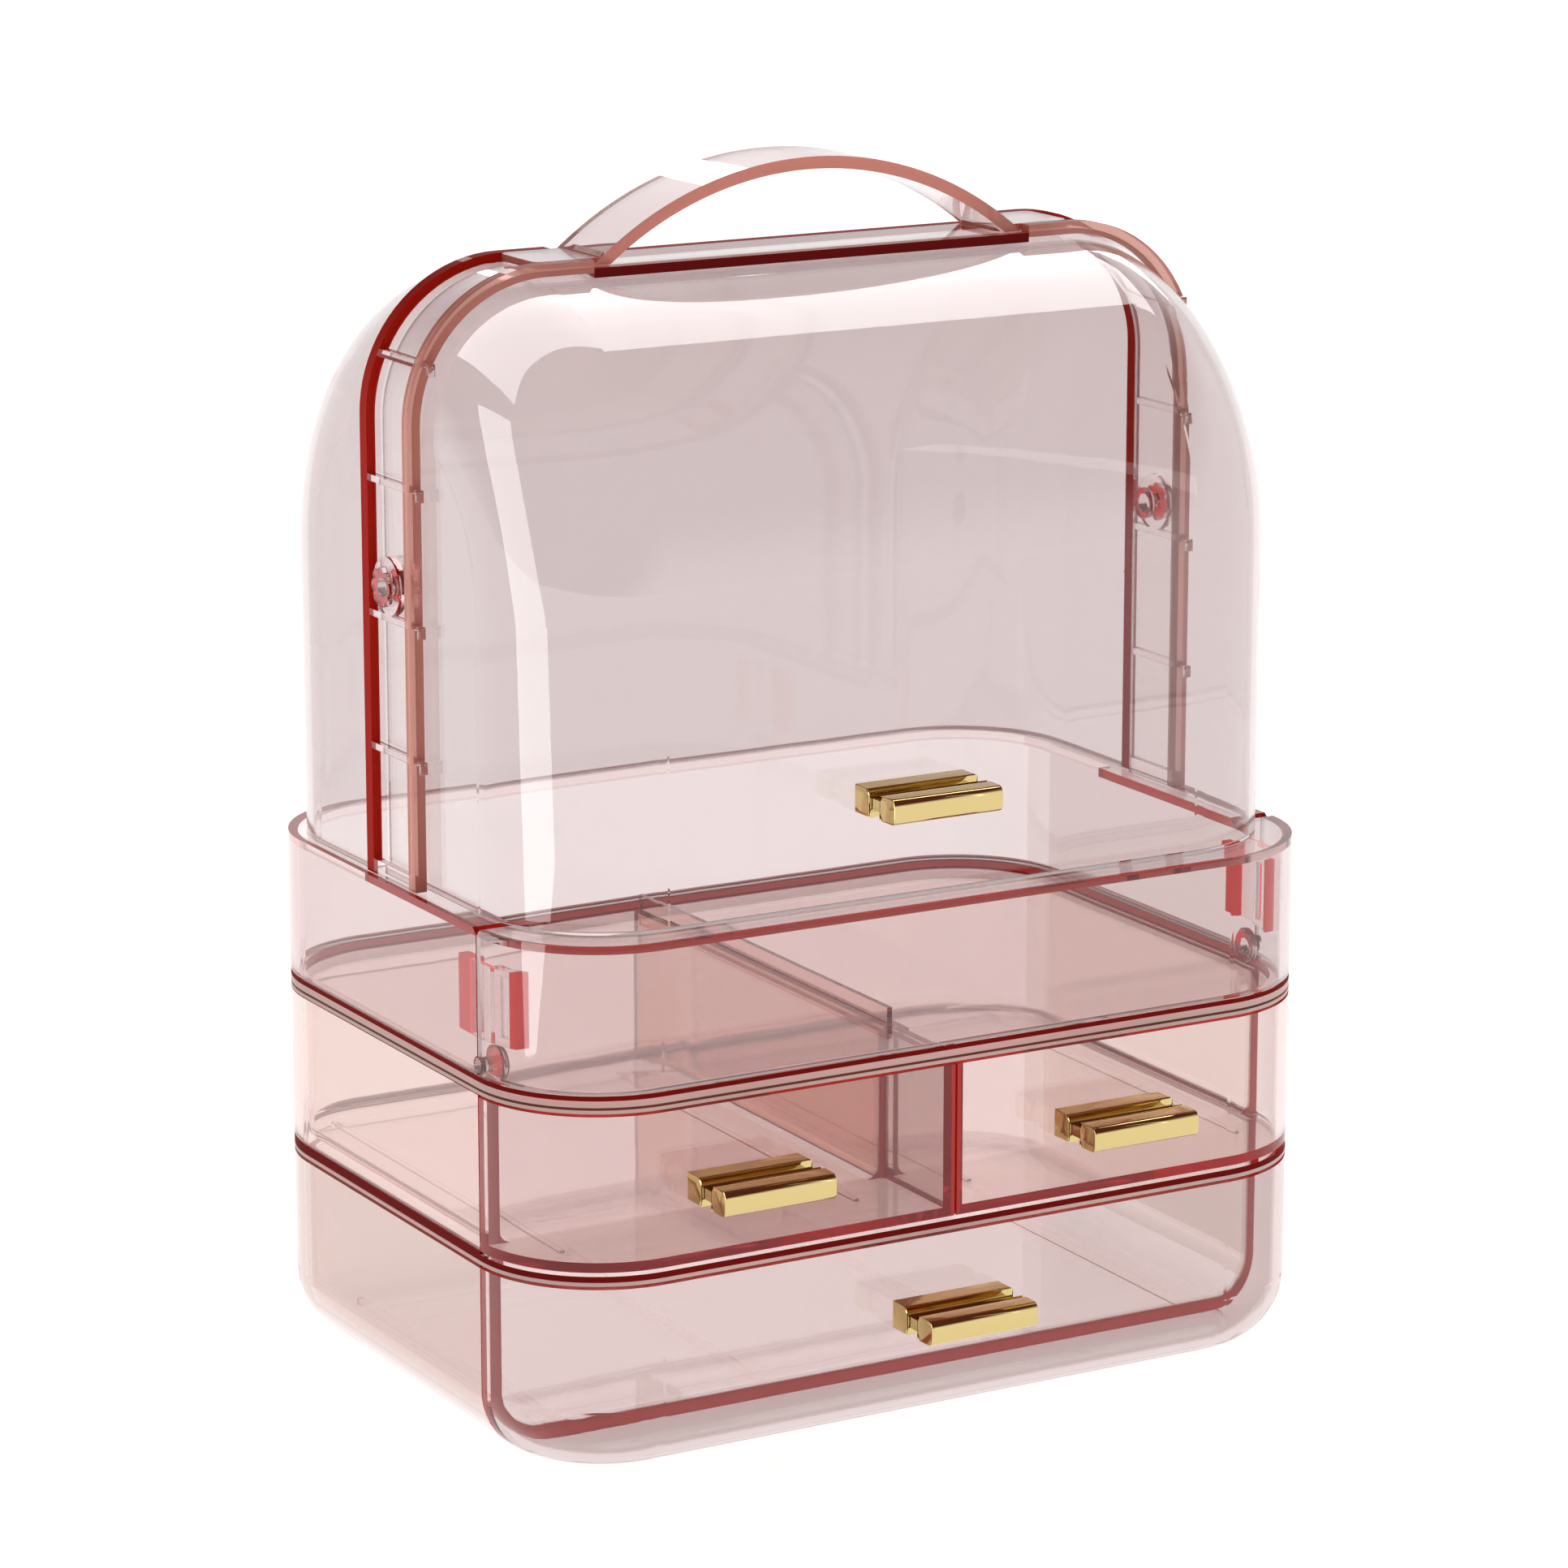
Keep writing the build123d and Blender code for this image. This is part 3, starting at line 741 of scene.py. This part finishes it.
@dataclass
class Tiers:
    """The fixed shells and plates from the foot up to the tray's rim.

    The deck's painted lines are measured down from its upper edge, and the shelf's up from its
    foot.
    """

    # Each shell's side walls get a deeper tint of their own, as painted shade
    sides: tuple[tuple[str, Tint], ...] = (
        ("base_case", Tint("#DED6D0")),
        ("upper_case", Tint("#F0EAE4")),
        ("tray_shell", Tint("#E2DAD9")),
    )
    side_wall: float = 3.2 * MM
    deck_rim: float = 6.0 * MM
    deck_line_low: float = 4.6 * MM
    deck_line_high: float = 3.8 * MM
    deck_edge: float = 1.8 * MM
    shelf_line: float = 0.8 * MM
    shelf_edge_from: float = 2.0 * MM

    def build(self) -> None:
        """Dress every shell and plate in rose plastic, with deeper painted light where light comes
        out.
        """
        for node, tint in self.sides:
            ROSE.dress(node, self.side_walls(node, tint), self.painted_seam_lines(node))
        # The divider's walls get painted shade, and its edges a painted red glow
        ROSE.dress(
            "drawer_divider",
            walls=(whole("drawer_divider", DUSKY_PAINTED_SHADE),),
            edges=(whole("drawer_divider", RED_PAINTED_GLOW),),
        )
        self.deck()
        self.shelf()

    def side_walls(self, node: str, tint: Tint) -> tuple[Zone, ...]:
        """Tint a shell's side walls, which are looked along, with painted shade.

        Args:
            node: Name of the shell's CAD node.
            tint: The painted shade that these walls get.

        Returns:
            The zones of both side walls.
        """
        low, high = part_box(node)
        return (
            band(node, "X", low[0] - HAIR, low[0] + self.side_wall, tint),
            band(node, "X", high[0] - self.side_wall, high[0] + HAIR, tint),
        )

    def painted_seam_lines(self, node: str) -> tuple[Zone, ...]:
        """Draw two red lines of painted light along the ends of a shell's walls, with pale painted
        light between.

        Args:
            node: Name of the shell's CAD node.

        Returns:
            The zones of both side walls and of the floor.
        """
        low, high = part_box(node)
        # Painted light: red, salmon, pale, then red again, from the wall's end inward
        lines = (RED_PAINTED_GLOW, SALMON_PAINTED_LIGHT, PALE_PAINTED_LIGHT, RED_PAINTED_GLOW)
        line = self.side_wall / len(lines)
        zones = []
        for number, tint in enumerate(lines):
            near = number * line
            far = near + line
            zones.append(band(node, "Z", low[2] + near, low[2] + far, tint))
            zones.append(band(node, "X", high[0] - far, high[0] - near, tint))
            zones.append(band(node, "X", low[0] + near, low[0] + far, tint))
        return tuple(zones)

    def deck(self) -> None:
        """Dress the deck with painted light: a deep line along its upper edge and a thin one lower
        down.
        """
        # The deck's own box reaches up to its middle rail, so its edge is found at the tray's foot
        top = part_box("tray_shell")[0][2]
        ROSE.dress("top_deck", walls=(whole("top_deck", BLUSH_PAINTED_SHADE),), edges=(
            band("top_deck", "Z", top - self.deck_rim, top + HAIR, PALE_PAINTED_LIGHT),
            band("top_deck", "Z", top - self.deck_line_low, top - self.deck_line_high, BROWN_PAINTED_LINE),
            band("top_deck", "Z", top - self.deck_edge, top + HAIR, DEEP_PAINTED_GLOW),
        ))

    def shelf(self) -> None:
        """Dress the shelf with painted light: deep red along its upper edge and a thin line along
        its lower.
        """
        low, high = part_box("middle_shelf")
        ROSE.dress("middle_shelf", edges=(
            band("middle_shelf", "Z", low[2] - HAIR, high[2] + HAIR, PALE_PAINTED_LIGHT),
            band("middle_shelf", "Z", low[2] - HAIR, low[2] + self.shelf_line, BROWN_PAINTED_LINE),
            band("middle_shelf", "Z", low[2] + self.shelf_edge_from, high[2] + HAIR, DEEP_PAINTED_GLOW),
        ))


@dataclass
class Guard:
    """The tray's curved front with its clips and pins."""

    pins: tuple[str, ...] = ("guard_pin_left", "guard_pin_right")
    clips: tuple[str, ...] = ("guard_clip_left", "guard_clip_right")
    rib: float = 7.5 * MM
    frame_bar: float = 2.2 * MM

    def build(self) -> None:
        """Dress the guard in clear plastic, and its clips in rose with a painted glow at their
        ends.
        """
        CLEAR.dress("front_guard")
        for node in self.pins:
            CRYSTAL.dress(node)
        for node in self.clips:
            low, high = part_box(node)
            # Painted glow at the frame bar and at the rib of each clip
            zones = (
                band(node, "Y", low[1] - HAIR, low[1] + self.frame_bar, BRIGHT_PAINTED_GLOW),
                band(node, "Y", high[1] - self.rib, high[1] + HAIR, BRIGHT_PAINTED_GLOW),
            )
            ROSE.dress(node, edges=(whole(node, ROSE.wall), *zones), dull=True)


@dataclass
class Arch:
    """The band over the covers, its strap and the petalled pivots."""

    pivots: tuple[str, ...] = ("pivot_pin_left", "pivot_pin_right")
    flange: float = 4.5 * MM
    strap: Tint = Tint("#E8E2E2")
    open_half: float = 76.0 * MM
    saddle_drop: float = 6.0 * MM
    corner: float = 46.0 * MM
    lug_inset: float = 1.9 * MM
    rung_rises: tuple[float, ...] = (39.9 * MM, 80.9 * MM, 121.9 * MM, 158.9 * MM)

    def build(self) -> None:
        """Dress the band, with a painted red glow on its rear flange and saddle, and all that it
        carries.
        """
        low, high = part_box("arch_frame")
        saddle = Zone(
            (-self.open_half, low[1] - HAIR, high[2] - self.saddle_drop),
            (self.open_half, low[1] + HAIR, high[2] + HAIR),
            DEEP_PAINTED_GLOW,
        )
        # Painted light: salmon on the front flange, red on the rear one, deep red on the saddle's
        # front face
        zones = (
            whole("arch_frame", ROSE.wall),
            band("arch_frame", "Y", low[1] - HAIR, low[1] + self.flange, SALMON_PAINTED_LIGHT),
            band("arch_frame", "Y", high[1] - self.flange - HAIR, high[1] + HAIR, RED_PAINTED_GLOW),
            saddle,
        )
        ROSE.dress("arch_frame", edges=zones, dull=True)
        ROSE.dress(
            "carry_handle",
            walls=(whole("carry_handle", self.strap),),
            edges=(whole("carry_handle", SALMON_PAINTED_LIGHT),),
        )
        for node in self.pivots:
            CRYSTAL.dress(node)
        self.lugs(ROSE.material(Face.WALL))

    def lugs(self, plastic: bpy.types.Material) -> None:
        """Model a lug once and copy it to the end of every rung, on both sides.

        Args:
            plastic: Material of the lugs.
        """
        low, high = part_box("arch_frame")
        shoulder = high[2] - self.corner
        bend = self.corner - self.lug_inset
        places = []
        for rise in self.rung_rises:
            height = low[2] + rise
            above = max(height - shoulder, 0)
            across = high[0] - self.corner + math.sqrt(bend ** 2 - above ** 2)
            places += [Vector((side * across, low[1], height)) for side in (-1, 1)]
        first = Lug().build(places[0], plastic)
        for number, lug in enumerate(one_at_each(first, places), start=1):
            lug.name = f"rung_lug_{number}"
            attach(lug, "body")
        LOG.info("%d lugs ride on body", len(places))


@dataclass
class Covers:
    """The fixed rear hood and the front hood that lifts."""

    nodes: tuple[str, ...] = ("front_cover", "rear_cover")

    def build(self) -> None:
        """Dress both hoods in clear plastic."""
        for node in self.nodes:
            CLEAR.dress(node)


@dataclass
class Drawers:
    """The three drawers."""

    # Each front gets a tint of its own, as painted light and shade
    painted_light_fronts: tuple[tuple[str, Tint], ...] = (
        ("lower_drawer", Tint("#E2DDDC")),
        ("upper_left_drawer", Tint("#E4DDDB")),
        ("upper_right_drawer", Tint("#F2EEEC")),
    )
    front_wall: float = 3.6 * MM
    meeting_half: float = 1.6 * MM
    meeting_from: float = 64.0 * MM

    def build(self) -> None:
        """Dress every drawer, a little deeper in its front with painted light and shade, and a
        painted red glow where the upper two meet.
        """
        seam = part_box("base_case")[0][1]
        for node, tint in self.painted_light_fronts:
            low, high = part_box(node)
            # The front's tint is painted light and shade
            front = band(node, "Y", low[1] - HAIR, seam, tint)
            # A painted red glow where the two upper fronts meet
            painted_mullion_glow = Zone(
                (-self.meeting_half, low[1] - HAIR, self.meeting_from),
                (self.meeting_half, low[1] + self.front_wall, high[2]),
                RED_PAINTED_GLOW,
            )
            ROSE.dress(node, (front, painted_mullion_glow), (painted_mullion_glow,))


@dataclass
class Pulls:
    """The gold pulls of the front cover and the drawers, each with the body that carries it."""

    carried: tuple[tuple[str, str], ...] = (
        ("pull_cover", "cover"),
        ("pull_upper_left", "upper_left_tray"),
        ("pull_upper_right", "upper_right_tray"),
        ("pull_lower", "lower_tray"),
    )

    def build(self) -> None:
        """Model a pull once and copy it into the place of every other one's CAD node."""
        nodes, bodies = zip(*self.carried)
        places = [Vector(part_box(node)[0]) for node in nodes]
        first = Pull().build(nodes[0], GOLD.material())
        for node, body, pull in zip(nodes, bodies, one_at_each(first, places)):
            pull.name = f"gold_{node}"
            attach(pull, body)
            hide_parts(node)
            LOG.info("%s rides on %s", pull.name, body)


# ---- Studio ----

# The point of the organizer that the camera and the right strip face
AIM: Point = (0.0, 0.0, 0.131)


@dataclass(frozen=True)
class SoftBox:
    """A rectangular light that shows in reflections only.

    Its place and size are in metres, its power in watts, and its lean, which is a turn in its
    own plane, in degrees.
    """

    name: str
    place: Point
    size: tuple[float, float]
    power: float
    towards: Point
    lean: float = 0.0

    def hang(self) -> None:
        """Add the light at its place, turned to the point that it faces."""
        lamp = bpy.data.lights.new(self.name, "AREA")
        lamp.shape = "RECTANGLE"
        lamp.energy = self.power
        lamp.size, lamp.size_y = self.size
        holder = bpy.data.objects.new(self.name, lamp)
        bpy.context.collection.objects.link(holder)
        look = Vector(self.towards) - Vector(self.place)
        facing = look.to_track_quat("-Z", "Y").to_matrix().to_4x4()
        leaning = Matrix.Rotation(math.radians(self.lean), 4, "Z")
        holder.matrix_world = Matrix.Translation(self.place) @ facing @ leaning
        holder.visible_camera = False
        holder.visible_diffuse = False
        holder.visible_transmission = False


@dataclass
class Studio:
    """Glowing white board, soft light and the camera at the photograph's place.

    Lengths are in metres, but for the sensor's width in millimetres and the focal length in
    pixels of the photograph's frame. Angles are in degrees.
    """

    azimuth: float = -29.77
    elevation: float = 13.61
    distance: float = 1.76827
    pan_right: float = -0.0016
    pan_up: float = 0.04633
    focal_px: float = 6932.27
    frame_px: float = 1932.0
    sensor: float = 36.0
    floor_half: float = 30.0
    floor_paint: str = "#8C8A89"
    floor_roughness: float = 0.9
    floor_glow: float = 0.97
    ceiling: str = "#5A302C"
    ceiling_from: float = 0.45
    ceiling_slope: Point = (-0.4, -0.25, 1.0)
    light_bounces: int = 64
    soft_boxes: tuple[SoftBox, ...] = (
        SoftBox("overhead", (0.0, 0.79, 1.5), (2.4, 1.3), 52.0, (0.0, 0.79, 0.0)),
        SoftBox("rear right", (1.7, 2.3, 1.5), (1.8, 1.8), 54.0, (1.7, 2.3, 0.0)),
        SoftBox("left panel", (-0.58, -0.02, 0.33), (0.22, 0.70), 2.6, (0.0, -0.02, 0.33), 25.0),
        SoftBox("right strip", (0.62, -0.85, 0.50), (0.02, 0.90), 0.08, AIM),
    )

    def build(self) -> None:
        """Set up everything in turn."""
        self.floor()
        self.room()
        for soft_box in self.soft_boxes:
            soft_box.hang()
        self.camera()
        self.bounces()

    def bounces(self) -> None:
        """Let light run on inside a plate, where each turn counts as a glossy bounce."""
        scene = bpy.context.scene
        scene.view_settings.view_transform = "Standard"
        scene.cycles.max_bounces = self.light_bounces
        scene.cycles.glossy_bounces = self.light_bounces
        scene.cycles.transmission_bounces = self.light_bounces

    def floor(self) -> None:
        """Lay a white board that is lit from below, so that nothing under the part is dark."""
        bpy.ops.object.select_all(action="DESELECT")
        bpy.ops.mesh.primitive_plane_add(size=2 * self.floor_half)
        floor = bpy.context.active_object
        floor.name = "floor"
        board = blank_material("glowing white board")
        face = add_node(
            board.node_tree, "ShaderNodeBsdfPrincipled",
            values={
                "Base Color": linear(self.floor_paint),
                "Roughness": self.floor_roughness,
                "Emission Color": linear("#FFFFFF"),
                "Emission Strength": self.floor_glow,
            },
        )
        add_node(
            board.node_tree, "ShaderNodeOutputMaterial", links={"Surface": face.outputs["BSDF"]}
        )
        floor.data.materials.append(board)

    def room(self) -> None:
        """Surround the scene with white walls that fade into a dark, sloping ceiling."""
        world = bpy.data.worlds.new("studio room")
        bpy.context.scene.world = world
        world.use_nodes = True
        tree = world.node_tree
        tree.nodes.clear()
        place = add_node(tree, "ShaderNodeTexCoord")
        height = add_node(
            tree, "ShaderNodeVectorMath", {"operation": "DOT_PRODUCT"},
            values={1: self.ceiling_slope}, links={0: place.outputs["Generated"]},
        )
        fade = add_node(
            tree, "ShaderNodeMapRange",
            settings={"interpolation_type": "SMOOTHSTEP"},
            values={"From Max": self.ceiling_from},
            links={"Value": height.outputs["Value"]},
        )
        shade = add_node(
            tree, "ShaderNodeMixRGB",
            values={"Color1": linear("#FFFFFF"), "Color2": linear(self.ceiling)},
            links={"Fac": fade.outputs["Result"]},
        )
        glow = add_node(tree, "ShaderNodeBackground", links={"Color": shade.outputs["Color"]})
        add_node(tree, "ShaderNodeOutputWorld", links={"Surface": glow.outputs["Background"]})

    def camera(self) -> None:
        """Put the camera where the photograph was taken from."""
        turn = math.radians(self.azimuth)
        rise = math.radians(self.elevation)
        back = Vector((
            math.sin(turn) * math.cos(rise),
            -math.cos(turn) * math.cos(rise),
            math.sin(rise),
        ))
        right = Vector((0, 0, 1)).cross(back).normalized()
        up = back.cross(right)
        lens = bpy.data.cameras.new("camera")
        lens.sensor_width = self.sensor
        lens.lens = self.focal_px / self.frame_px * self.sensor
        lens.clip_end = 100.0
        holder = bpy.data.objects.new("camera", lens)
        bpy.context.collection.objects.link(holder)
        centre = Vector(AIM) + right * self.pan_right + up * self.pan_up
        turned = Matrix((right, up, back)).transposed().to_4x4()
        holder.matrix_world = Matrix.Translation(centre + back * self.distance) @ turned
        bpy.context.scene.camera = holder


def main() -> None:
    """Dress the organizer, model its pulls and set up its studio."""
    logging.basicConfig(level=logging.INFO, format="%(message)s")
    for assembly in (Tiers(), Guard(), Arch(), Covers(), Drawers(), Pulls(), Studio()):
        assembly.build()


if __name__ == "__main__":
    main()
